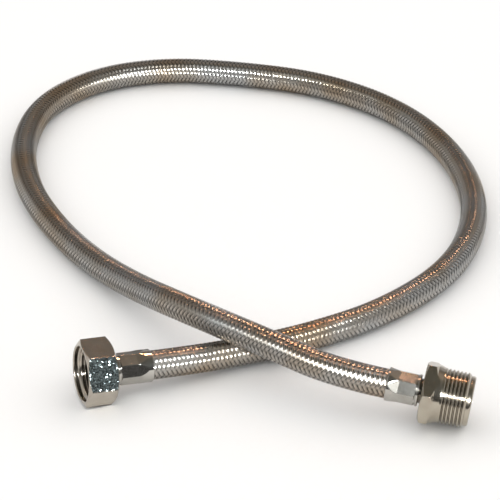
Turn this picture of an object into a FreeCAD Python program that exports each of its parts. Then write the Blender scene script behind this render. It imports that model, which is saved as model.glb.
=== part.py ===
import FreeCAD, Part
import math
import os

# Braided water supply line, sizes in millimetres, +Z up.
#
# The line lies on a flat surface at z = 0. A rubber liner inside a woven steel sleeve makes the
# hose. Each end of the hose is pushed over a barbed brass tail, and a steel ferrule is crimped
# round it. One end carries a loose hexagon nut with a washer, the other a male thread.
#
# Each end is drawn standing on its own Z axis, with z = 0 at the ferrule's open mouth, where the
# hose comes out, and z growing outward, away from the hose. It is then laid on the end of the route.

V = FreeCAD.Vector

# Hose
HOSE_OD = 12.2             # outside of the woven sleeve
BRAID_WALL = 0.5           # two wires deep
LINER_BORE = 8.0           # nominal size of the hose
CRIMP_SQUEEZE = 1.2        # taken off the hose's diameter by the crimp
CRIMPED_HOSE_OD = HOSE_OD - CRIMP_SQUEEZE

# Ferrules
FERRULE_WALL = 0.65
FERRULE_END_WALL = 1.0     # inward wall that holds the ferrule on the tail
CRIMP_LENGTH = 7.0         # length of the eight flats
CRIMP_FLATS = 8
CRIMP_RAMP = 4.0           # slope from the round part down to each flat
NUT_END_CRIMP_START = 6.5  # where the flats begin, from the mouth
MALE_END_CRIMP_START = 4.7
NUT_END_FLAT_TURN = 22.5   # angle of the first flat, up from level, counted outward from each end
MALE_END_FLAT_TURN = 11.0
LIP_GROOVE = 0.5           # narrow groove between the flats and the bead
LIP_RISE = 0.3             # how far the bead stands above the flats
LIP_LENGTH = 1.0           # length of the bead
LIP_OD = CRIMPED_HOSE_OD + 2 * (FERRULE_WALL + LIP_RISE)
EDGE = 0.3                 # broken edges of the ferrules and the hexagons

# Barbed tails
STEM_WALL = 1.0
BARB_HEIGHT = 0.3
BARB_COUNT = 5
BARB_SLOPE = 0.2           # slope up to each barb
BARB_LAND = 0.3            # flat top of each barb
BARB_BACK = 0.1            # steep side that bites
TAIL_TIP = 1.8             # height of the stem's tip inside the hose
TIP_TAPER = 0.4            # how much the entry cone takes off the stem's radius
TIP_SETBACK = 1.2          # from the tip to the first barb
STEM_OD = LINER_BORE - 2 * BARB_HEIGHT
TAIL_BORE = STEM_OD - 2 * STEM_WALL
NECK_OD = CRIMPED_HOSE_OD - 2 * BRAID_WALL      # shoulder for the liner, and the nut's shaft

# Thread shared by the nut and the adapter, metric 22 x 1.5
THREAD_MAJOR = 22.0
THREAD_PITCH = 1.5
THREAD_DEPTH = 0.6134 * THREAD_PITCH
THREAD_MOUTH = 0.87 * THREAD_PITCH              # width of the groove at its open side
ROOT_WIDTH = 0.19 * THREAD_PITCH                # and at its bottom
THREAD_CLEARANCE = 0.05
OVERCUT = 0.2              # how far a cutter reaches past the surface it cuts

# Swivel nut
NUT_WALL = 1.0             # metal outside the thread, at the flats
NUT_FLATS = THREAD_MAJOR + 2 * NUT_WALL
NUT_CORNERS = NUT_FLATS / math.cos(math.radians(30))
NUT_LENGTH = 12.5
NUT_GAP = 1.4              # from the ferrule to the nut
NUT_END_WALL = 2.4
NUT_RUNNING_GAP = 0.08     # radial gap round the neck
NUT_END_PLAY = 0.25        # axial gap to the flange
NUT_MOUTH_GAP = 0.1        # radial gap round the mating thread in the plain lead-in
NUT_MOUTH_BORE = THREAD_MAJOR + 2 * NUT_MOUTH_GAP
NUT_MOUTH_DEPTH = 1.5
NUT_MOUTH_CHAMFER = 0.4
RELIEF_LENGTH = 3.0        # plain bore behind the thread
CHAMFER = 1.1              # along the axis, at the corners of both hexagons

# Flange and washer inside the nut, small enough to pass the thread's crests
THREAD_MINOR = THREAD_MAJOR - 2 * THREAD_DEPTH
FLANGE_GAP = 0.38
FLANGE_OD = THREAD_MINOR - 2 * FLANGE_GAP
FLANGE_THICKNESS = 1.6
WASHER_GAP = 0.18
WASHER_OD = THREAD_MINOR - 2 * WASHER_GAP
WASHER_BORE = NECK_OD + 1.0
WASHER_THICKNESS = 2.0

# Male adapter
HEX_WALL = 0.5             # how far the flats stand outside the thread
HEX_FLATS = THREAD_MAJOR + 2 * HEX_WALL
HEX_CORNERS = HEX_FLATS / math.cos(math.radians(30))
HEX_GAP = 1.0              # from the ferrule to the hexagon
HEX_LENGTH = 4.9
COLLAR_LENGTH = 2.6        # cone from the hexagon down to the thread
COLLAR_RISE = 0.4          # how far up the corners the cone begins
COLLAR_OD = HEX_FLATS + 2 * COLLAR_RISE
THREAD_LENGTH = 9.6
THREAD_STEP = 0.15         # face left round the roots where the end chamfer stops
GROOVE_START = 40.0        # angle at which the thread begins, away from the cylinders' seams
TIP_LENGTH = 2.8           # plain end beyond the thread
TIP_ROUND = 0.8
ROUND_MIDDLE = 0.3 * TIP_ROUND                  # how far the rounding's middle lies in from the edge
ADAPTER_BORE = 13.0
ADAPTER_BORE_DEPTH = 16.0

# Heights of the hose's centre line
REST = HOSE_OD / 2                              # lying on the floor
OVER = REST + HOSE_OD + 1.5                     # where it passes over itself
NUT_HEIGHT = NUT_FLATS / 2 - 1.7                # at the nut's end, with the nut resting on a flat
HEX_HEIGHT = HEX_CORNERS / 2 + 1.85             # at the male end, resting on its hexagon

# The hose's route: chosen points that its centre line is drawn round, nut end first
ROUTE = [
    (-49.2, 14.2, NUT_HEIGHT),
    (-32.3, 20.2, NUT_HEIGHT - 1.8),
    (-12.9, 28.2, REST + 0.6),
    (14.1, 38.3, REST),
    (49.1, 57.4, REST),
    (80.6, 90.4, REST),
    (94.1, 134.4, REST),
    (87.1, 182.4, REST),
    (63.1, 223.4, REST),
    (26.1, 249.9, REST),
    (-14.9, 260.4, REST),
    (-51.9, 264.4, REST),
    (-85.9, 253.9, REST),
    (-109.9, 227.4, REST),
    (-116.4, 191.4, REST),
    (-110.9, 155.4, REST),
    (-97.4, 124.4, REST),
    (-79.9, 97.4, REST),
    (-59.9, 72.4, REST + 3.3),
    (-35.9, 40.4, OVER),
    (-1.9, 16.4, OVER),
    (23.6, 0.4, HEX_HEIGHT + 2.3),
    (45.1, -4.2, HEX_HEIGHT),
]
ARC_SHARE = 0.45           # part of the shorter run that each arc takes


# ---- shared shapes -------------------------------------------------------------------------

def turned(profile):
    """Solid of revolution about Z from (radius, height) corners."""
    corners = [V(radius, 0, height) for radius, height in profile]
    face = Part.Face(Part.makePolygon(corners + corners[:1]))
    return face.revolve(V(0, 0, 0), V(0, 0, 1), 360)


def rod(radius, low, high):
    """Cylinder on the Z axis between two heights."""
    return Part.makeCylinder(radius, high - low, V(0, 0, low))


def hexagon(flats, low, high, turn):
    """Hexagonal bar on the Z axis, its first corner at an angle of turn degrees from X."""
    radius = flats / 2 / math.cos(math.radians(30))
    angles = [math.radians(turn + 60 * i) for i in range(6)]
    corners = [V(radius * math.cos(a), radius * math.sin(a), low) for a in angles]
    return Part.Face(Part.makePolygon(corners + corners[:1])).extrude(V(0, 0, high - low))


def thread_groove(inner, outer, narrow, wide, start, length):
    """Helical groove cutter: a trapezoid, narrow wide at the inner radius, carried up whole turns."""
    turns = []
    for i in range(math.ceil(length / THREAD_PITCH)):
        turn = Part.makeHelix(THREAD_PITCH, THREAD_PITCH, (inner + outer) / 2)
        turn.translate(V(0, 0, start + i * THREAD_PITCH))
        turns += turn.Edges
    corners = [
        V(inner, 0, start - narrow / 2),
        V(outer, 0, start - wide / 2),
        V(outer, 0, start + wide / 2),
        V(inner, 0, start + narrow / 2),
    ]
    profile = Part.makePolygon(corners + corners[:1])
    return Part.Wire(turns).makePipeShell([profile], True, True)


# ---- hose ----------------------------------------------------------------------------------

def ferrule_length(crimp_start):
    return crimp_start + CRIMP_LENGTH + LIP_GROOVE + LIP_LENGTH


def hose_end(crimp_start):
    """Height of the hose's cut end, against the ferrule's end wall."""
    return ferrule_length(crimp_start) - FERRULE_END_WALL


def hose_outline(crimp_start):
    """Outside of the hose in a ferrule, as (radius, height): full size, a cone, then crimped."""
    return [
        (HOSE_OD / 2, 0),
        (HOSE_OD / 2, crimp_start - CRIMP_RAMP),
        (CRIMPED_HOSE_OD / 2, crimp_start),
        (CRIMPED_HOSE_OD / 2, hose_end(crimp_start)),
    ]


def inward(outline, wall):
    """The same outline moved in by a wall's thickness."""
    return [(radius - wall, height) for radius, height in outline]


def braid_end(crimp_start):
    outside = hose_outline(crimp_start)
    return turned(outside + inward(outside, BRAID_WALL)[::-1])


def liner_end(crimp_start):
    """Rubber squeezed on to the tail, with the barbs bitten into it."""
    end = hose_end(crimp_start)
    block = turned(inward(hose_outline(crimp_start), BRAID_WALL) + [(0, end), (0, 0)])
    return block.cut(tail_outside(crimp_start, end)).cut(rod(LINER_BORE / 2, 0, TAIL_TIP))


def route_wire():
    """Straight runs joined by tangent arcs, one arc at each inner point of the route."""
    points = [V(*p) for p in ROUTE]
    edges = []
    start = points[0]
    for before, corner, after in zip(points, points[1:], points[2:]):
        back = (before - corner).normalize()
        ahead = (after - corner).normalize()
        cut = ARC_SHARE * min(before.distanceToPoint(corner), after.distanceToPoint(corner))
        half_turn = (math.pi - back.getAngle(ahead)) / 2
        radius = cut / math.tan(half_turn)
        enter = corner + back * cut
        leave = corner + ahead * cut
        bisector = (back + ahead).normalize()
        centre = corner + bisector * (radius / math.cos(half_turn))
        middle = centre - bisector * radius
        edges.append(Part.LineSegment(start, enter).toShape())
        edges.append(Part.Arc(enter, middle, leave).toShape())
        start = leave
        print(f"turn of {math.degrees(2 * half_turn):5.1f} degrees, radius {radius:6.1f} mm")
    edges.append(Part.LineSegment(start, points[-1]).toShape())
    return Part.Wire(edges)


def tube(radius, bore):
    """Pipe along the whole route, and the length of its centre line."""
    wire = route_wire()
    along = V(*ROUTE[1]) - V(*ROUTE[0])
    pipes = []
    for size in (radius, bore):
        ring = Part.Wire(Part.makeCircle(size, V(*ROUTE[0]), along))
        pipes.append(wire.makePipeShell([ring], True, True))
    pipe = pipes[0].cut(pipes[1])
    expected = math.pi * (radius ** 2 - bore ** 2) * wire.Length
    print(f"tube: {wire.Length:.1f} mm long, volume {pipe.Volume / expected:.5f} of section x length")
    return pipe


# ---- ferrule and tails ---------------------------------------------------------------------

def ferrule(crimp_start, flat_turn):
    crimp_end = crimp_start + CRIMP_LENGTH
    end_wall = hose_end(crimp_start)
    length = ferrule_length(crimp_start)
    round_radius = HOSE_OD / 2 + FERRULE_WALL
    flat_distance = CRIMPED_HOSE_OD / 2 + FERRULE_WALL
    lip = LIP_OD / 2
    body = turned([
        *hose_outline(crimp_start),
        (NECK_OD / 2, end_wall),
        (NECK_OD / 2, length),
        (lip - EDGE, length),
        (lip, length - EDGE),
        (lip, crimp_end + LIP_GROOVE),
        (flat_distance, crimp_end + LIP_GROOVE),
        (flat_distance, crimp_end),
        (round_radius, crimp_end - EDGE),
        (round_radius, EDGE),
        (round_radius - EDGE, 0),
    ])
    for i in range(CRIMP_FLATS):
        press = crimp_press(flat_distance, round_radius, crimp_start, crimp_end)
        press.rotate(V(0, 0, 0), V(0, 0, 1), flat_turn + 360 / CRIMP_FLATS * i)
        body = body.cut(press)
    return body


def crimp_press(flat_distance, round_radius, crimp_start, crimp_end):
    """Block that leaves one flat, with a long ramp towards the ferrule's mouth."""
    beyond = round_radius + FERRULE_WALL
    ramp_slope = (round_radius - flat_distance) / CRIMP_RAMP
    side = [
        V(flat_distance, -beyond, crimp_start),
        V(flat_distance, -beyond, crimp_end),
        V(beyond, -beyond, crimp_end),
        V(beyond, -beyond, crimp_start - (beyond - flat_distance) / ramp_slope),
    ]
    return Part.Face(Part.makePolygon(side + side[:1])).extrude(V(0, 2 * beyond, 0))


def tail_outside(crimp_start, neck_top):
    """Stem with barbs, then the neck. Its bore is not cut."""
    shoulder = hose_end(crimp_start)
    first_barb = TAIL_TIP + TIP_SETBACK
    barb_pitch = (shoulder - first_barb) / BARB_COUNT
    stem = STEM_OD / 2
    crest = LINER_BORE / 2
    profile = [(0, TAIL_TIP), (stem - TIP_TAPER, TAIL_TIP)]
    for i in range(BARB_COUNT):
        foot = first_barb + i * barb_pitch
        back = foot + BARB_LAND
        profile += [(stem, foot - BARB_SLOPE), (crest, foot), (crest, back), (stem, back + BARB_BACK)]
    profile += [(stem, shoulder), (NECK_OD / 2, shoulder), (NECK_OD / 2, neck_top), (0, neck_top)]
    return turned(profile)


def flanged_tail():
    top = flange_back() + FLANGE_THICKNESS
    body = tail_outside(NUT_END_CRIMP_START, top).fuse(rod(FLANGE_OD / 2, flange_back(), top))
    return body.cut(rod(TAIL_BORE / 2, TAIL_TIP, top)).removeSplitter()


# ---- nut end -------------------------------------------------------------------------------

def nut_back():
    return ferrule_length(NUT_END_CRIMP_START) + NUT_GAP


def flange_back():
    return nut_back() + NUT_END_WALL + NUT_END_PLAY


def swivel_nut():
    back = nut_back()
    mouth = back + NUT_LENGTH
    corner = NUT_CORNERS / 2
    rim = NUT_FLATS / 2 - EDGE
    crest = THREAD_MINOR / 2
    relief = THREAD_MAJOR / 2 + THREAD_CLEARANCE
    lead_in = NUT_MOUTH_BORE / 2
    lead_in_floor = mouth - NUT_MOUTH_CHAMFER - NUT_MOUTH_DEPTH
    cavity = back + NUT_END_WALL
    relief_top = cavity + RELIEF_LENGTH
    body = turned([
        (NECK_OD / 2 + NUT_RUNNING_GAP, back),
        (rim, back),
        (corner, back + CHAMFER),
        (corner, mouth - CHAMFER),
        (rim, mouth),
        (lead_in + NUT_MOUTH_CHAMFER, mouth),
        (lead_in, mouth - NUT_MOUTH_CHAMFER),
        (lead_in, lead_in_floor),
        (crest, lead_in_floor - (lead_in - crest)),
        (crest, relief_top),
        (relief, relief_top - (relief - crest)),
        (relief, cavity),
        (NECK_OD / 2 + NUT_RUNNING_GAP, cavity),
    ])
    body = body.common(hexagon(NUT_FLATS, back, mouth, 0))
    start = relief_top - (relief - crest) - ROOT_WIDTH
    groove = thread_groove(crest - OVERCUT, THREAD_MAJOR / 2, THREAD_MOUTH, ROOT_WIDTH,
                           start, lead_in_floor + ROOT_WIDTH - start)
    return body.cut(groove)


def sealing_washer():
    seat = flange_back() + FLANGE_THICKNESS
    top = seat + WASHER_THICKNESS
    return rod(WASHER_OD / 2, seat, top).cut(rod(WASHER_BORE / 2, seat, top))


# ---- male end ------------------------------------------------------------------------------

def male_adapter():
    back = ferrule_length(MALE_END_CRIMP_START) + HEX_GAP
    hex_front = back + HEX_LENGTH
    thread_start = hex_front + COLLAR_LENGTH
    thread_end = thread_start + THREAD_LENGTH
    top = thread_end + TIP_LENGTH
    corner = HEX_CORNERS / 2
    major = THREAD_MAJOR / 2
    root = THREAD_MINOR / 2
    tip = root - THREAD_CLEARANCE
    chamfer_edge = root + THREAD_STEP
    thread_face = thread_end + major - chamfer_edge
    bore = ADAPTER_BORE / 2
    bore_floor = top - ADAPTER_BORE_DEPTH
    stem = turned([
        (0, back),
        (HEX_FLATS / 2 - EDGE, back),
        (corner, back + CHAMFER),
        (corner, hex_front - CHAMFER),
        (COLLAR_OD / 2, hex_front),
        (major, thread_start),
        (major, thread_end),
        (chamfer_edge, thread_face),
        (tip, thread_face),
        (tip, top - TIP_ROUND),
        (tip - ROUND_MIDDLE, top - ROUND_MIDDLE),
        (tip - TIP_ROUND, top),
        (0, top),
    ])
    body = stem.common(hexagon(HEX_FLATS, back, top, 30)).fuse(tail_outside(MALE_END_CRIMP_START, back))
    body = body.cut(rod(TAIL_BORE / 2, TAIL_TIP, top)).cut(rod(bore, bore_floor, top))
    groove = thread_groove(root, major + OVERCUT, ROOT_WIDTH, THREAD_MOUTH,
                           thread_start + THREAD_PITCH / 2, thread_face - thread_start)
    groove.rotate(V(0, 0, 0), V(0, 0, 1), GROOVE_START)
    return body.removeSplitter().cut(groove)


# ---- assembly ------------------------------------------------------------------------------

def laid(shape, end, inner):
    """Lay an end's shape on the route, its Z axis pointing outward from the inner point."""
    outward = (V(*end) - V(*inner)).normalize()
    side = V(0, 0, 1).cross(outward).normalize()
    turn = FreeCAD.Rotation(side, outward.cross(side), outward, "ZXY")
    placed = shape.copy()
    placed.Placement = FreeCAD.Placement(V(*end), turn)
    return placed


def at_nut_end(shape):
    return laid(shape, ROUTE[0], ROUTE[1])


def at_male_end(shape):
    return laid(shape, ROUTE[-1], ROUTE[-2])


def hose_layer(outer, bore, make_end):
    """One layer of the hose: the free tube and its two crimped ends, in one piece."""
    middle = tube(outer, bore)
    near = at_nut_end(make_end(NUT_END_CRIMP_START))
    far = at_male_end(make_end(MALE_END_CRIMP_START))
    return middle.fuse([near, far]).removeSplitter()


def main():
    liner_radius = HOSE_OD / 2 - BRAID_WALL
    parts = {
        "swivel_nut": at_nut_end(swivel_nut()),
        "sealing_washer": at_nut_end(sealing_washer()),
        "flanged_tail": at_nut_end(flanged_tail()),
        "nut_end_ferrule": at_nut_end(ferrule(NUT_END_CRIMP_START, NUT_END_FLAT_TURN)),
        "male_end_ferrule": at_male_end(ferrule(MALE_END_CRIMP_START, MALE_END_FLAT_TURN)),
        "male_adapter": at_male_end(male_adapter()),
        "wire_braid": hose_layer(HOSE_OD / 2, liner_radius, braid_end),
        "inner_hose": hose_layer(liner_radius, LINER_BORE / 2, liner_end),
    }
    os.makedirs("parts", exist_ok=True)
    for name, shape in parts.items():
        box = shape.optimalBoundingBox(False)
        print(f"{name}: {len(shape.Solids)} solid, valid {shape.isValid()}, {shape.Volume:.0f} mm3, "
              f"x {box.XMin:.2f} to {box.XMax:.2f}, y {box.YMin:.2f} to {box.YMax:.2f}, "
              f"z {box.ZMin:.2f} to {box.ZMax:.2f}")
        shape.exportStep(f"parts/{name}.step")


main()
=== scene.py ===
# %% [markdown]
# # A braided supply line
#
# This lesson dresses a finished CAD model of a flexible water line: a rubber hose inside a woven
# stainless-steel sleeve, with a loose hexagon nut on one end and a male threaded fitting on the
# other. The CAD pieces come in as a fixed frame, in metres, and everything made here is placed by
# their numbers. Each markdown cell says what a piece is on the real object, how it could be made
# in Blender, and why this way was chosen.

# %% Load the fixed frame
import bpy
import math
import numpy as np
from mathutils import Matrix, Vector


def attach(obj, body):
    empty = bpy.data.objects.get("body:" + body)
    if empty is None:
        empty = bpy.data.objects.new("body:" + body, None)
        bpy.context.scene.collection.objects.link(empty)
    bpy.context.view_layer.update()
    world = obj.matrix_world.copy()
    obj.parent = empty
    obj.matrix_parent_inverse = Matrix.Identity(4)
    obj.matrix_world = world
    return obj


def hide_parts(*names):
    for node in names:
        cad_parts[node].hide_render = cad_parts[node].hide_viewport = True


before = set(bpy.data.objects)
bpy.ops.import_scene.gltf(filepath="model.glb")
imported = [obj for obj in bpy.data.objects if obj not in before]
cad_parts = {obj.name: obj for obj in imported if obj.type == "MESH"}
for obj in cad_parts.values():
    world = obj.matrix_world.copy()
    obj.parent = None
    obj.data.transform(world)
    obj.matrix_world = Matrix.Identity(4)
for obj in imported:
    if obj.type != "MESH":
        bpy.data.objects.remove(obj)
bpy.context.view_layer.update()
scene = bpy.context.scene
print("CAD nodes:", ", ".join(sorted(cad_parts)))

# %% [markdown]
# ## Camera
#
# A small product is usually taken from a little way off with a long lens, so that the far side of
# the loop isn't much smaller than the near side. A 158 mm lens at just under a metre does that.
# The camera only tilts down, 34 degrees below the horizon, and looks along +Y, so the line's own
# left and right stay left and right in the view. No shift and no depth of field are needed.

# %% Camera
TILT_DOWN = math.radians(34)
VIEW_DISTANCE = 0.962
LENS_MM = 158.4
SENSOR_MM = 36
AIM = Vector((-0.0089, 0.1034, 0.0061))

lens = bpy.data.cameras.new("view")
lens.lens = LENS_MM
lens.sensor_width = SENSOR_MM
camera = bpy.data.objects.new("view", lens)
camera.location = AIM + VIEW_DISTANCE * Vector((0, -math.cos(TILT_DOWN), math.sin(TILT_DOWN)))
camera.rotation_euler = (math.pi / 2 - TILT_DOWN, 0, 0)
scene.collection.objects.link(camera)
scene.camera = camera
print("camera at", [round(x, 4) for x in camera.location])

# %% [markdown]
# ## The line's route
#
# The hose is one bending thing, so it gets one smooth centre line and everything woven on it
# follows that. The route is a list of chosen points. A NURBS spline of order 3 passes smoothly
# near them, stays inside their corners and never dips below the lowest of them, so a hose that
# lies on the floor stays on it. A Bezier curve would go through every point, but each handle
# would need care. The order is set after the points, because before them Blender lowers it.

# %% Route
ROUTE = [
    (-0.0492, 0.0142, 0.0103),
    (-0.0323, 0.0202, 0.0085),
    (-0.0129, 0.0282, 0.0067),
    (0.0141, 0.0383, 0.0061),
    (0.0491, 0.0574, 0.0061),
    (0.0806, 0.0904, 0.0061),
    (0.0941, 0.1344, 0.0061),
    (0.0871, 0.1824, 0.0061),
    (0.0631, 0.2234, 0.0061),
    (0.0261, 0.2499, 0.0061),
    (-0.0149, 0.2604, 0.0061),
    (-0.0519, 0.2644, 0.0061),
    (-0.0859, 0.2539, 0.0061),
    (-0.1099, 0.2274, 0.0061),
    (-0.1164, 0.1914, 0.0061),
    (-0.1109, 0.1554, 0.0061),
    (-0.0974, 0.1244, 0.0061),
    (-0.0799, 0.0974, 0.0061),
    (-0.0599, 0.0724, 0.0094),
    (-0.0359, 0.0404, 0.0198),
    (-0.0019, 0.0164, 0.0198),
    (0.0236, 0.0004, 0.01743),
    (0.0451, -0.0042, 0.01513),
]

curve = bpy.data.curves.new("route", "CURVE")
curve.dimensions = "3D"
spline = curve.splines.new("NURBS")
spline.points.add(len(ROUTE) - 1)
for point, place in zip(spline.points, ROUTE):
    point.co = (*place, 1)
spline.order_u = 3
spline.use_endpoint_u = True
spline.resolution_u = 32
route_object = bpy.data.objects.new("route", curve)
route_mesh = bpy.data.meshes.new_from_object(route_object)
line = np.array([v.co for v in route_mesh.vertices])
bpy.data.objects.remove(route_object)
line_length = float(np.linalg.norm(np.diff(line, axis=0), axis=1).sum())
print(f"centre line: {len(line)} points, {line_length * 1000:.1f} mm")

# %% [markdown]
# ## A frame that travels along the hose
#
# To weave round a bending hose, each place on it needs two directions across it that don't spin
# as the hose bends. Carrying the first pair forward, each time taking out only the part that
# points along the hose, gives such a frame. Turning it towards "up" at every place is simpler,
# but the weave would then twist where the hose climbs over itself.

# %% Travelling frame
OVERLAP = 0.0012           # how far the hose goes on inside each ferrule's mouth


def unit(vectors):
    return vectors / np.linalg.norm(vectors, axis=-1, keepdims=True)


first, last = unit(line[0] - line[1]), unit(line[-1] - line[-2])
line = np.vstack([line[0] + first * OVERLAP, line, line[-1] + last * OVERLAP])
along = unit(np.gradient(line, axis=0))
across = [unit(np.cross((0, 0, 1), along[0]))]
for direction in along[1:]:
    carried = across[-1] - direction * np.dot(across[-1], direction)
    across.append(unit(carried))
across = np.array(across)
aside = np.cross(along, across)
station = np.concatenate([[0], np.cumsum(np.linalg.norm(np.diff(line, axis=0), axis=1))])
hose_length = float(station[-1])


def on_hose(distance, angle, radius):
    """Points at a distance along the hose, an angle round it and a radius from its centre line."""
    def read(table):
        return np.stack([np.interp(distance, station, table[:, i]) for i in range(3)], axis=-1)
    cos, sin = np.cos(angle)[..., None], np.sin(angle)[..., None]
    return read(line) + radius[..., None] * (cos * read(across) + sin * read(aside))


print(f"hose with its ends in the ferrules: {hose_length * 1000:.1f} mm")

# %% [markdown]
# ## The braid
#
# A hose like this is braided on a machine with 24 bobbins: 12 run round it one way and 12 the
# other. Each bobbin lays down a flat strand of fine wires side by side, and each strand passes
# over two strands of the other direction and then under two. That makes rows along the hose in
# which all the strands lean one way, next to rows in which they lean the other way, and a small
# dark hole wherever four strands meet.
#
# A picture of a weave bumped on to a tube is cheap, but it has no real gaps and its highlights
# don't break up at the edges. Here every strand is real mesh. The wires in a strand are 0.25 mm
# thick, too fine to show, so each strand is drawn with four wires of 0.31 mm. Each wire is a
# narrow strip with a raised middle, which smooth shading turns into a round wire.
#
# The maths is in two numbers. Strands that run one way keep a constant value of
# (angle - turn along the hose), and the others a constant value of (angle + turn), so the sum of
# a strand's own number and the number of the strand it meets says whether it is over or under.

# %% Braid sizes
HOSE_OD = 0.0122
LAY = 0.0230               # length of hose in which a strand goes round once
CARRIERS = 12              # strands each way
WIRES = 4                  # wires drawn in each strand
WIRE_WIDTH = 0.00031
WIRE_RISE = 0.00006        # middle of a wire above its edges
WAVE = 0.00028             # how far a strand rises and dips as it goes over and under
CROWN = 0.00016            # how far a strand's outer wires sit below its middle ones
BRAID_RADIUS = HOSE_OD / 2 - WAVE - WIRE_RISE
LEAN = math.atan(2 * math.pi * BRAID_RADIUS / LAY)
MAP_MARGIN = 0.02          # left empty at the ends of each half's baking map
STRAND_MARGIN = 0.05       # and at the sides of each strand in it, as a share of its width
# Places along one over-and-under, counted in strands crossed: close together where it shows
RINGS = np.array([-0.75, -0.3, 0.15, 0.85, 1.3, 1.75, 2.5])
print(f"strands lean {math.degrees(LEAN):.1f} degrees, "
      f"{LAY / CARRIERS * 1000:.2f} mm apart along the hose")

# %% One strand
def strand(hand, number):
    """Points of one strand, as (place along it, wire, edge or middle), and what made them.

    met counts both strands' numbers at each crossing, so it is the angle in steps of 15 degrees.
    """
    step = LAY / (2 * CARRIERS)
    repeats = np.arange(-hose_length / step / 4 - CARRIERS, hose_length / step / 4 + CARRIERS)
    over_centre_shift = 0 if hand > 0 else 2
    met = (4 * np.round(repeats)[:, None] + RINGS + over_centre_shift).ravel()
    distance = hand * (met - 2 * number) * step
    order = np.argsort(distance)
    met, distance = met[order], distance[order]
    inside = (distance >= 0) & (distance <= hose_length)
    met, distance = met[inside], distance[inside]

    wave = np.cos(math.pi * (met - over_centre_shift - 0.5) / 2)
    wire = np.arange(WIRES) - (WIRES - 1) / 2
    aside_of_middle = (wire[:, None] + np.array([-0.5, 0, 0.5])) * WIRE_WIDTH
    # Keeps a ring along the strand that it meets
    ahead = -hand * aside_of_middle / math.tan(2 * LEAN)
    rise = np.array([0, 1, 0]) * WIRE_RISE - CROWN * (wire[:, None] * 2 / WIRES) ** 2
    s = distance[:, None, None] - hand * aside_of_middle * math.sin(LEAN) + ahead * math.cos(LEAN)
    angle = met[:, None, None] * math.pi / CARRIERS + (
        aside_of_middle * math.cos(LEAN) + hand * ahead * math.sin(LEAN)) / BRAID_RADIUS
    radius = BRAID_RADIUS + WAVE * wave[:, None, None] + rise
    return on_hose(s, angle, radius), s, radius


# %% Strands into pieces
def strip_faces(rings, first_point):
    """Faces of one strand: two long rows of quads for each wire."""
    ring = np.arange(rings - 1)[:, None, None]
    wire = np.arange(WIRES)[None, :, None]
    half = np.arange(2)[None, None, :]
    corner = first_point + (ring * WIRES + wire) * 3 + half
    next_ring = WIRES * 3
    return np.stack([corner, corner + 1, corner + 1 + next_ring, corner + next_ring],
                    axis=-1).reshape(-1, 4)


def mesh_piece(name, points, faces, uv=None, depth=None):
    """A smooth mesh from arrays, with its own map for baking."""
    mesh = bpy.data.meshes.new(name)
    mesh.vertices.add(len(points))
    mesh.vertices.foreach_set("co", points.astype(np.float32).ravel())
    mesh.loops.add(faces.size)
    mesh.loops.foreach_set("vertex_index", faces.astype(np.int32).ravel())
    mesh.polygons.add(len(faces))
    mesh.polygons.foreach_set("loop_start", np.arange(0, faces.size, 4, dtype=np.int32))
    mesh.polygons.foreach_set("use_smooth", np.ones(len(faces), dtype=bool))
    mesh.update(calc_edges=True)
    if uv is not None:
        layer = mesh.uv_layers.new(name="OFBake")
        layer.uv.foreach_set("vector", uv[faces.ravel()].astype(np.float32).ravel())
    if depth is not None:
        mesh.attributes.new("depth", "FLOAT", "POINT").data.foreach_set(
            "value", depth.astype(np.float32))
    piece = bpy.data.objects.new(name, mesh)
    scene.collection.objects.link(piece)
    return piece


def weave(hand, name):
    """All twelve strands that lean one way, as two pieces that meet half way along the hose."""
    pieces = []
    for half, end_name in enumerate(("near", "far")):
        points, faces, uv, depth, count = [], [], [], [], 0
        for number in range(CARRIERS):
            places, s, radius = strand(hand, number)
            middle = int(np.searchsorted(s[:, 0, 1], hose_length / 2))
            part = slice(0, middle + 1) if half == 0 else slice(middle, None)
            places, s, radius = places[part], s[part], radius[part]
            rings = len(places)
            points.append(places.reshape(-1, 3))
            faces.append(strip_faces(rings, count))
            across_strand = np.linspace(STRAND_MARGIN, 1 - STRAND_MARGIN, WIRES * 3)
            across_strand = across_strand.reshape(1, WIRES, 3)
            share = (s - half * hose_length / 2) / (hose_length / 2)
            u = share * (1 - 2 * MAP_MARGIN) + MAP_MARGIN
            v = np.broadcast_to((number + across_strand) / CARRIERS, s.shape)
            uv.append(np.stack([u, v], axis=-1).reshape(-1, 2))
            depth.append((radius.ravel() - BRAID_RADIUS) / (WAVE + WIRE_RISE))
            count += rings * WIRES * 3
        piece = mesh_piece(f"{name}_{end_name}_half", np.vstack(points), np.vstack(faces),
                           np.vstack(uv), np.concatenate(depth))
        print(f"{piece.name}: {len(piece.data.polygons)} faces")
        pieces.append(piece)
    return pieces


braid = weave(1, "right_leaning_strands") + weave(-1, "left_leaning_strands")

# %% [markdown]
# ## The rubber hose under the braid
#
# Between the strands there are small gaps, and what shows through them is the black rubber liner.
# It only has to be there and be dark, so it is a plain tube swept along the same centre line.

# %% Rubber hose
LINER_CLEARANCE = 0.00002  # keeps the rubber off the deepest wires
LINER_RADIUS = BRAID_RADIUS - WAVE - CROWN - LINER_CLEARANCE
TUBE_RING_SPACING = 0.0015
SIDES = 32

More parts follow.
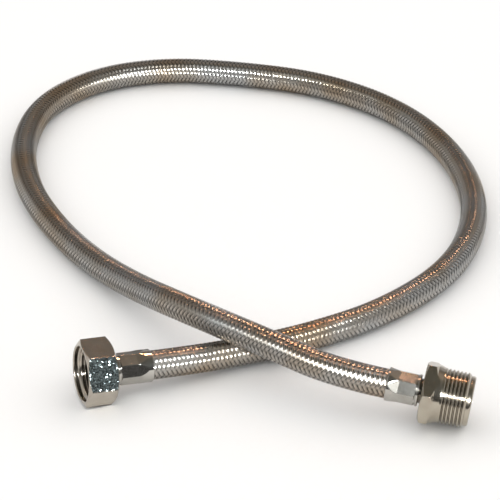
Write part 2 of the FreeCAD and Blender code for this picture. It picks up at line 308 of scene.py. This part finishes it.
places = np.linspace(0, hose_length, int(hose_length / TUBE_RING_SPACING))
round_it = np.linspace(0, 2 * math.pi, SIDES, endpoint=False)
grid_s, grid_a = np.meshgrid(places, round_it, indexing="ij")
tube_points = on_hose(grid_s, grid_a, np.full(grid_s.shape, LINER_RADIUS)).reshape(-1, 3)
ring = np.arange(len(places) - 1)[:, None] * SIDES
side = np.arange(SIDES)[None, :]
after = (side + 1) % SIDES
tube_faces = np.stack([ring + side, ring + SIDES + side, ring + SIDES + after, ring + after],
                      axis=-1).reshape(-1, 4)[:, ::-1]
rubber_hose = mesh_piece("rubber_hose", tube_points, tube_faces)
print(f"rubber hose: {len(tube_faces)} faces, {LINER_RADIUS * 2000:.2f} mm across")

# %% [markdown]
# ## Turned fittings
#
# The nut and the male fitting are brass bar, turned on a lathe: a hexagon with coned corners, and
# a thread, 22 mm across with a pitch of 1.5 mm. The CAD solids have the right sizes, but a thread
# meshed from exact faces shades in patches. So both are drawn again here as one grid each: a
# profile turned round an axis, where the radius at each place is the smallest of three things:
# the turned profile, the distance to the hexagon's flat, and the bottom of the thread's groove. In
# the nut's bore the groove is cut outwards, so there it is the larger of profile and groove.
# Screwing a small section along a helix is the usual other way, but it needs a boolean to join it
# to the body. The grid is fine enough for smooth shading, and sharper edges than 32 degrees stay
# sharp.

# %% Fitting sizes
PITCH = 0.0015
GROOVE = 0.0006            # crests and roots are rounded, so it is less deep than it is cut
GROOVE_POWER = 1.5         # above 1, crests are wider than roots
NUT_FLATS = 0.024
MALE_FLATS = 0.023
COLUMNS = 192
ROWS_PER_PITCH = 24
ROW_LENGTH = 0.00035       # rows away from the thread
THREAD_REACH = 0.0012      # a profile this near the crest belongs to the thread
SHARP = math.radians(32)

# %% Hexagon and thread on a grid
def profile_rows(profile, low, high, crest):
    """Split a closed (radius, height) profile into rows, close together along the thread."""
    rows = []
    for (r0, z0), (r1, z1) in zip(profile, profile[1:] + profile[:1]):
        at_thread = (min(z0, z1) < high and max(z0, z1) > low
                     and abs(r0 - crest) < THREAD_REACH and abs(r1 - r0) < THREAD_REACH)
        size = PITCH / ROWS_PER_PITCH if at_thread else ROW_LENGTH
        count = max(1, math.ceil(math.hypot(r1 - r0, z1 - z0) / size))
        share = np.arange(count) / count
        rows.append(np.stack([r0 + (r1 - r0) * share, z0 + (z1 - z0) * share], axis=-1))
    return np.vstack(rows)


def flat_distance(angle, flats, turn):
    """Distance from the axis to a hexagon's side, at each angle."""
    from_flat = (angle - turn) % (math.pi / 3) - math.pi / 6
    return flats / 2 / np.cos(from_flat)


def threaded(radius, height, angle, low, high, crest, cut):
    """Radius with the thread's groove in it: cut is below 0 outside a bar and above 0 in a bore."""
    phase = height / PITCH - angle / (2 * math.pi)
    depth = (0.5 + 0.5 * np.cos(2 * math.pi * phase)) ** GROOVE_POWER
    run_out = np.clip((height - low) / PITCH, 0, 1) * np.clip((high - height) / PITCH + 1, 0, 1)
    groove = crest + cut * depth * run_out
    within = (height > low) & (height < high + PITCH) & (abs(radius - crest) < THREAD_REACH)
    deeper = np.minimum if cut < 0 else np.maximum
    return np.where(within, deeper(radius, groove), radius)


# %% Grid into a piece
def turned_fitting(name, end, inner, profile, flats, turn, thread):
    """Closed grid from (radius, height) corners, placed on an end of the route."""
    low, high, crest, cut = thread
    rows = profile_rows(profile, low, high, crest)
    angle = np.linspace(0, 2 * math.pi, COLUMNS, endpoint=False)
    radius, height = (np.repeat(rows[:, i, None], COLUMNS, axis=1) for i in range(2))
    radius = threaded(radius, height, angle, low, high, crest, cut)
    hexagon = flat_distance(angle, flats, turn)
    every_third = (angle - turn) // (math.pi / 3) % 3 == 0
    peened = (radius > hexagon) & every_third
    radius = np.minimum(radius, hexagon)

    axis = (Vector(end) - Vector(inner)).normalized()
    side = Vector((0, 0, 1)).cross(axis).normalized()
    cos, sin = np.cos(angle)[:, None], np.sin(angle)[:, None]
    out = cos * np.array(side) + sin * np.array(axis.cross(side))
    points = np.array(end) + radius[..., None] * out + height[..., None] * np.array(axis)
    row, column = np.arange(len(rows))[:, None], np.arange(COLUMNS)[None, :]
    next_row, next_column = (row + 1) % len(rows), (column + 1) % COLUMNS
    faces = np.stack(np.broadcast_arrays(
        row * COLUMNS + column, row * COLUMNS + next_column,
        next_row * COLUMNS + next_column, next_row * COLUMNS + column), axis=-1).reshape(-1, 4)
    piece = mesh_piece(name, points.reshape(-1, 3), faces)
    piece.data.set_sharp_from_angle(angle=SHARP)
    piece.data.attributes.new("peened", "FLOAT", "POINT").data.foreach_set(
        "value", peened.astype(np.float32).ravel())
    print(f"{name}: {len(faces)} faces, {len(rows)} rows")
    return piece


# %% Hexagon nut
NUT_PROFILE = [
    (0.00508, 0.0164), (0.0117, 0.0164), (0.013856, 0.0175), (0.013856, 0.0278),
    (0.0117, 0.0289), (0.0115, 0.0289), (0.0111, 0.0285), (0.0111, 0.0270), (0.01008, 0.02598),
    (0.01008, 0.0218), (0.01105, 0.02083), (0.01105, 0.0188), (0.00508, 0.0188)]
NUT_THREAD = (0.0215, 0.0258, 0.01008, GROOVE)       # from, to, crest radius, cut
nut = turned_fitting("hexagon_nut", ROUTE[0], ROUTE[1], NUT_PROFILE, NUT_FLATS, 0.0, NUT_THREAD)
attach(nut, "nut")
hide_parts("swivel_nut")

# %% Male threaded fitting
# It starts with the stem inside the hose and the neck between the ferrule and the hexagon.
MALE_PROFILE = [
    (0.0027, 0.0018), (0.0033, 0.0018), (0.0037, 0.0030), (0.0037, 0.0122), (0.00499, 0.0122),
    (0.00499, 0.0142), (0.0112, 0.0142), (0.013279, 0.0153), (0.013279, 0.0180),
    (0.0119, 0.0191), (0.0110, 0.0217), (0.0110, 0.0313), (0.01023, 0.03207),
    (0.01003, 0.03207), (0.01003, 0.0333), (0.00979, 0.03386), (0.00923, 0.0341),
    (0.0065, 0.0341), (0.0065, 0.0181), (0.0027, 0.0181)]
MALE_THREAD = (0.0217, 0.0313, 0.0110, -GROOVE)
male_fitting = turned_fitting("male_threaded_fitting", ROUTE[-1], ROUTE[-2], MALE_PROFILE,
                              MALE_FLATS, math.pi / 6, MALE_THREAD)
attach(male_fitting, "line")
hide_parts("male_adapter")

# %% [markdown]
# ## Declaring the hose
#
# The hose is seen from end to end, so its length is the length of the centre line between the two
# ferrules' mouths. It leaves the nut's ferrule and ends in the male fitting, and the braid, the
# far ferrule and the far fitting all go with it. The rubber runs from one ferrule to the other
# without a break. It is a bare tube with open ends, which the ferrules hide, and the strands are
# open strips, so neither is a closed solid.

for piece in braid + [rubber_hose]:
    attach(piece, "line")
for piece in braid:
    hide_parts("wire_braid")
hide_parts("inner_hose")
print(f"declared 791.5 mm, drawn {line_length * 1000:.1f} mm")

# %% [markdown]
# ## Colours and shader nodes
#
# Colours are written as the hex values that a picker shows, which are sRGB, and one function
# turns them into the linear numbers that shaders work in. Noise and cell patterns take how many
# repeats fit in a metre, so another function works that out from a real size in millimetres. One
# more adds a node with its settings and links, so that each material below reads as a list.

# %% Colour, size and node helpers
def paint(hex_value):
    """Linear colour from an sRGB hex value."""
    parts = [int(hex_value[i:i + 2], 16) / 255 for i in (1, 3, 5)]
    return tuple(c / 12.92 if c <= 0.04045 else ((c + 0.055) / 1.055) ** 2.4 for c in parts) + (1,)


def every(millimetres):
    """Scale of a pattern that repeats about this often."""
    return 1000 / millimetres


def add(tree, kind, settings=None, links=None):
    """Add one shader node: settings by socket or property name, links by socket name."""
    node = tree.nodes.new("ShaderNode" + kind)
    for name, value in (settings or {}).items():
        if isinstance(name, int) or name in node.inputs:
            node.inputs[name].default_value = value
        else:
            setattr(node, name, value)
    for name, output in (links or {}).items():
        tree.links.new(output, node.inputs[name])
    return node


def new_finish(name, **settings):
    """A material with its Principled shader's own values set."""
    material = bpy.data.materials.new(name)
    material.use_nodes = True
    shader = material.node_tree.nodes["Principled BSDF"]
    for socket, value in settings.items():
        shader.inputs[socket.replace("_", " ")].default_value = value
    print("material:", name)
    return material, material.node_tree, shader


def ramp(tree, source, stops):
    """A colour ramp through (place, colour) stops."""
    node = add(tree, "ValToRGB", links={"Fac": source})
    band = node.color_ramp
    while len(band.elements) < len(stops):
        band.elements.new(0.5)
    for element, (place, colour) in zip(band.elements, stops):
        element.position, element.color = place, colour
    return node.outputs["Color"]


# Sockets of a Mix node that is set to colours, which share their names with its other kinds
FIRST_COLOUR, SECOND_COLOUR, MIXED_COLOUR = 6, 7, 2


def mixed(tree, first, second, settings, links=None):
    """Two colour outputs mixed, or multiplied when settings say so."""
    node = add(tree, "Mix", {"data_type": "RGBA", **settings}, links)
    tree.links.new(first, node.inputs[FIRST_COLOUR])
    tree.links.new(second, node.inputs[SECOND_COLOUR])
    return node.outputs[MIXED_COLOUR]


# %% [markdown]
# ## Stainless-steel wire
#
# The wires are drawn 304 stainless steel, left bright. On the real hose the eye sees near-white
# glints in rows, one on the top of each strand where it rises over the others, with grey sides
# and near-black gaps between. The steel also carries a faint straw tint where the drawing oil
# has left a film.
#
# The glints come from the mesh, because each strand really rises and dips. The colour is a
# neutral mid steel with slow, faint straw patches, and it darkens with depth as painted shade
# where the wires dive under each other. The tops are rubbed bright and the sides stay duller, so
# the roughness follows the same depth.

# %% Stainless wire
wire_steel, tree, shader = new_finish("bright_drawn_stainless_wire", Metallic=1.0, Roughness=0.2)
place = add(tree, "TexCoord").outputs["Object"]
patches = add(tree, "TexNoise", {"Scale": every(33), "Detail": 2.0, "Roughness": 0.5},
              {"Vector": place})
tint = ramp(tree, patches.outputs["Fac"],
            [(0.40, paint("#ACABA9")), (0.52, paint("#A8A198")), (0.64, paint("#A59582"))])
depth = add(tree, "Attribute", {"attribute_name": "depth"})
# Painted shade: the steel's colour darkens where a wire dives under the others
shade = add(tree, "MapRange", {"From Min": -0.8, "From Max": 0.5, "To Min": 0.2, "To Max": 1.0},
            {"Value": depth.outputs["Fac"]})
painted_shade_tint = mixed(tree, tint, shade.outputs["Result"], {"blend_type": "MULTIPLY", "Factor": 1.0})
tree.links.new(painted_shade_tint, shader.inputs["Base Color"])
burnish = add(tree, "MapRange", {"From Min": -0.2, "From Max": 0.9, "To Min": 0.5, "To Max": 0.17},
              {"Value": depth.outputs["Fac"]})
tree.links.new(burnish.outputs["Result"], shader.inputs["Roughness"])
for piece in braid:
    piece.data.materials.append(wire_steel)

# %% [markdown]
# ## EPDM rubber
#
# The liner and the washer are EPDM, a black rubber that takes hot water. Moulded rubber is matt,
# and a thin bloom comes to its surface in cloudy patches a few millimetres across, so the colour
# drifts between two near-blacks. A plain black would look like a hole.

# %% Black rubber
liner_rubber, tree, shader = new_finish("black_epdm_rubber", Roughness=0.7)
place = add(tree, "TexCoord").outputs["Object"]
bloom = add(tree, "TexNoise", {"Scale": every(3.3), "Detail": 3.0}, {"Vector": place})
tree.links.new(ramp(tree, bloom.outputs["Fac"], [(0.3, paint("#0C0C0C")), (0.7, paint("#161514"))]),
               shader.inputs["Base Color"])
rubber_hose.data.materials.append(liner_rubber)

# %% [markdown]
# ## What all the fittings' metal shares
#
# No metal edge is perfectly sharp and no polished face is perfectly flat, and both show mainly in
# reflections. A Bevel node rounds the shading of each edge by a third of a millimetre, which
# costs no mesh, and a faint noise bump bends straight reflections a little. Handling and tarnish
# cloud the plate, and an Ambient Occlusion node paints brown shade into the corners.

# %% Edges, waves and painted corner shade
EDGE_ROUND = 0.00035
PAINTED_SHADE_REACH = 0.0016
WAVE_HEIGHT = 0.0004
PAINTED_SHADE_BROWN = "#2B1C12"


def soft_edges(tree, waviness, wave_mm):
    """Normal with rounded edges and slight waves, and the place on the surface."""
    place = add(tree, "TexCoord").outputs["Object"]
    edge = add(tree, "Bevel", {"samples": 6, "Radius": EDGE_ROUND})
    wave = add(tree, "TexNoise", {"Scale": every(wave_mm), "Detail": 2.0}, {"Vector": place})
    bump = add(tree, "Bump", {"Strength": waviness, "Distance": WAVE_HEIGHT},
               {"Height": wave.outputs["Fac"], "Normal": edge.outputs["Normal"]})
    return place, bump.outputs["Normal"]


def clouded(tree, place, cloud_mm, dark, light):
    """Faint clouds between two colours, with brown painted shade in the corners."""
    cloud = add(tree, "TexNoise", {"Scale": every(cloud_mm), "Detail": 4.0}, {"Vector": place})
    colour = ramp(tree, cloud.outputs["Fac"], [(0.3, paint(dark)), (0.7, paint(light))])
    # Painted shade: brown darkening in the corners that Ambient Occlusion finds
    corner_openness = add(tree, "AmbientOcclusion", {"samples": 8, "Distance": PAINTED_SHADE_REACH})
    painted_corner_shade = ramp(tree, corner_openness.outputs["AO"], [(0.25, paint(PAINTED_SHADE_BROWN)), (0.8, (1, 1, 1, 1))])
    return mixed(tree, colour, painted_corner_shade, {"blend_type": "MULTIPLY", "Factor": 1.0})


# %% [markdown]
# ## Bright nickel plate, and two peened flats
#
# The nut is brass under bright nickel, which is a shade yellower than chrome. Two opposite flats
# were struck with many small points, so they glitter: each dent is a tiny mirror with its own
# tilt, most of them dark and a few flashing white. A bump of round dents turns into streaks at
# this size. So each cell of a Voronoi pattern tilts the normal by its own random amount, which is
# also cheaper. The dents are about 0.43 mm across. The peened attribute, made with the mesh, says
# where they are.

# %% Nut plate
DENT_MM = 0.43
# A darker blue-grey colour on the peened flats
PEENED_FLAT_COLOUR = "#5C6566"
nut_plate, tree, shader = new_finish("bright_nickel_plate", Metallic=1.0, Roughness=0.16)
place, smooth = soft_edges(tree, 0.15, 3.8)
plate = clouded(tree, place, 5.5, "#A79E93", "#B4ADA2")
peened = add(tree, "Attribute", {"attribute_name": "peened"}).outputs["Fac"]
dents = add(tree, "TexVoronoi", {"Scale": every(DENT_MM)}, {"Vector": place})
tilt = add(tree, "VectorMath", {"operation": "SUBTRACT", 1: (0.5, 0.5, 0.5)},
           {0: dents.outputs["Color"]})
struck = add(tree, "VectorMath", {"operation": "SCALE"}, {0: tilt.outputs[0], "Scale": peened})
tilted = add(tree, "VectorMath", {"operation": "ADD"}, {0: smooth, 1: struck.outputs[0]})
facet = add(tree, "VectorMath", {"operation": "NORMALIZE"}, {0: tilted.outputs[0]})
tree.links.new(facet.outputs[0], shader.inputs["Normal"])
two_tone = add(tree, "Mix", {"data_type": "RGBA"}, {"Factor": peened})
tree.links.new(plate, two_tone.inputs[FIRST_COLOUR])
two_tone.inputs[SECOND_COLOUR].default_value = paint(PEENED_FLAT_COLOUR)
tree.links.new(two_tone.outputs[MIXED_COLOUR], shader.inputs["Base Color"])
nut.data.materials.append(nut_plate)

# %% [markdown]
# ## The other metals
#
# The male fitting is nickel plate too, a little warmer where the thread was cut before plating.
# The ferrules are polished stainless sheet, pressed to shape, so they are the smoothest and
# coolest of the metals. The tail inside the nut is brass left as turned. They differ only in
# colour, gloss and how wavy they are, so each is one row of a table. The washer is the same
# rubber as the liner.

# %% Plate, sheet and brass
def metal(name, roughness, waviness, wave_mm, cloud_mm, dark, light):
    material, tree, shader = new_finish(name, Metallic=1.0, Roughness=roughness)
    place, smooth = soft_edges(tree, waviness, wave_mm)
    tree.links.new(smooth, shader.inputs["Normal"])
    tree.links.new(clouded(tree, place, cloud_mm, dark, light), shader.inputs["Base Color"])
    return material


adapter_plate = metal("satin_nickel_plate", 0.15, 0.12, 4.2, 7.1, "#A59C8E", "#B3AC9E")
ferrule_steel = metal("polished_stainless_sheet", 0.13, 0.03, 3.3, 5.0, "#AAA69F", "#B8B5AF")
tail_brass = metal("turned_brass", 0.2, 0.1, 2.0, 3.3, "#A67C3C", "#C29A55")

male_fitting.data.materials.append(adapter_plate)
for node, finish in (("nut_end_ferrule", ferrule_steel), ("male_end_ferrule", ferrule_steel),
                     ("flanged_tail", tail_brass), ("sealing_washer", liner_rubber)):
    for material_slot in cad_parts[node].material_slots:
        material_slot.material = finish
    print(f"{node}: {finish.name}")

# %% [markdown]
# ## Floor
#
# The line lies on plain matt white board, much wider than the view. It is also what the undersides
# of the metal reflect, so its whiteness sets how light the lower half of every fitting looks.

# %% Floor
FLOOR_HALF = 3.0
floor_mesh = bpy.data.meshes.new("floor")
floor_mesh.from_pydata([(x * FLOOR_HALF, y * FLOOR_HALF, 0)
                        for x, y in ((-1, -1), (1, -1), (1, 1), (-1, 1))], [], [(0, 1, 2, 3)])
floor = bpy.data.objects.new("floor", floor_mesh)
scene.collection.objects.link(floor)
floor_white = new_finish("matt_white_board", Roughness=0.9, Base_Color=paint("#F2F2F2"))[0]
floor.data.materials.append(floor_white)

# %% [markdown]
# ## The room that the metal reflects
#
# Polished metal has almost no look of its own: it shows the room. This room is dim in front of
# and above the line, with a brownish ceiling, and pale behind. Its two side walls are bright. A
# ramp over the angle from the front horizon, up over the top and down to the back, gives the
# first, and how far a direction points sideways gives the walls. A picture of a real room would
# also do, but would be one more file to carry.

# %% Room
WALL_BEGINS, WALL_IS_FULL = 0.60, 0.90
WALL_COLOUR = (0.84, 0.83, 0.82, 1)

world = bpy.data.worlds.new("studio")
scene.world = world
world.use_nodes = True
tree = world.node_tree
sky = add(tree, "SeparateXYZ", links={"Vector": add(tree, "TexCoord").outputs["Generated"]})
front = add(tree, "Math", {"operation": "MULTIPLY", 1: -1.0}, {0: sky.outputs["Y"]})
over = add(tree, "Math", {"operation": "ARCTAN2"}, {0: sky.outputs["Z"], 1: front.outputs[0]})
turn = add(tree, "Math", {"operation": "DIVIDE", 1: math.pi}, {0: over.outputs[0]})
bands = ramp(tree, turn.outputs[0], [
    (0.00, (0.05, 0.05, 0.05, 1)), (0.10, (0.07, 0.07, 0.07, 1)), (0.20, (0.10, 0.11, 0.11, 1)),
    (0.35, (0.15, 0.15, 0.14, 1)), (0.50, (0.17, 0.165, 0.14, 1)), (0.62, (0.40, 0.33, 0.27, 1)),
    (0.72, (0.44, 0.37, 0.31, 1)), (0.82, (0.23, 0.205, 0.18, 1)), (0.90, (0.60, 0.60, 0.61, 1)),
    (1.00, (0.66, 0.66, 0.67, 1))])
beside = add(tree, "Math", {"operation": "ABSOLUTE"}, {0: sky.outputs["X"]})
wall = add(tree, "MapRange", {"From Min": WALL_BEGINS, "From Max": WALL_IS_FULL},
           {"Value": beside.outputs[0]})
walls = add(tree, "Mix", {"data_type": "RGBA"}, {"Factor": wall.outputs["Result"]})
tree.links.new(bands, walls.inputs[FIRST_COLOUR])
walls.inputs[SECOND_COLOUR].default_value = WALL_COLOUR
tree.links.new(walls.outputs[MIXED_COLOUR], tree.nodes["Background"].inputs["Color"])

# %% [markdown]
# ## Lights
#
# One very large soft light overhead lights the floor evenly. Two small lights only show as
# glints in the metal: a white one above and behind the camera, which each strand catches on its
# top, and a weak warm one behind the line, which gives the orange rim on the upper edges. Letting
# each light reach either the matt surfaces or the reflections means one can be set without the
# other.

# %% Lights
def soft_light(name, place, aim, size, power, colour, spread=180, seen="reflections"):
    """Area light that either lights matt surfaces or shows in metal."""
    light = bpy.data.lights.new(name, "AREA")
    light.shape = "RECTANGLE"
    light.size, light.size_y = size
    light.energy = power
    light.color = colour
    light.spread = math.radians(spread)
    lamp = bpy.data.objects.new(name, light)
    lamp.location = place
    lamp.rotation_euler = (Vector(aim) - Vector(place)).to_track_quat("-Z", "Y").to_euler()
    lamp.visible_glossy = seen == "reflections"
    lamp.visible_diffuse = seen == "matt"
    scene.collection.objects.link(lamp)
    print(f"light {name}: {power} W")


soft_light("overhead_fill", (0, 0.3, 1.7), (0, 0.3, 0), (7.0, 7.0), 150, (1, 1, 1), seen="matt")
soft_light("white_key", (0.16, -0.90, 0.72), (0, 0.12, 0), (0.24, 0.12), 34, (0.97, 1.0, 1.0))
soft_light("warm_lamp", (0.10, 0.55, 0.78), (0, -0.02, 0), (0.14, 0.10), 0.055, (1.0, 0.52, 0.30),
           spread=22)
scene.view_settings.view_transform = "Standard"
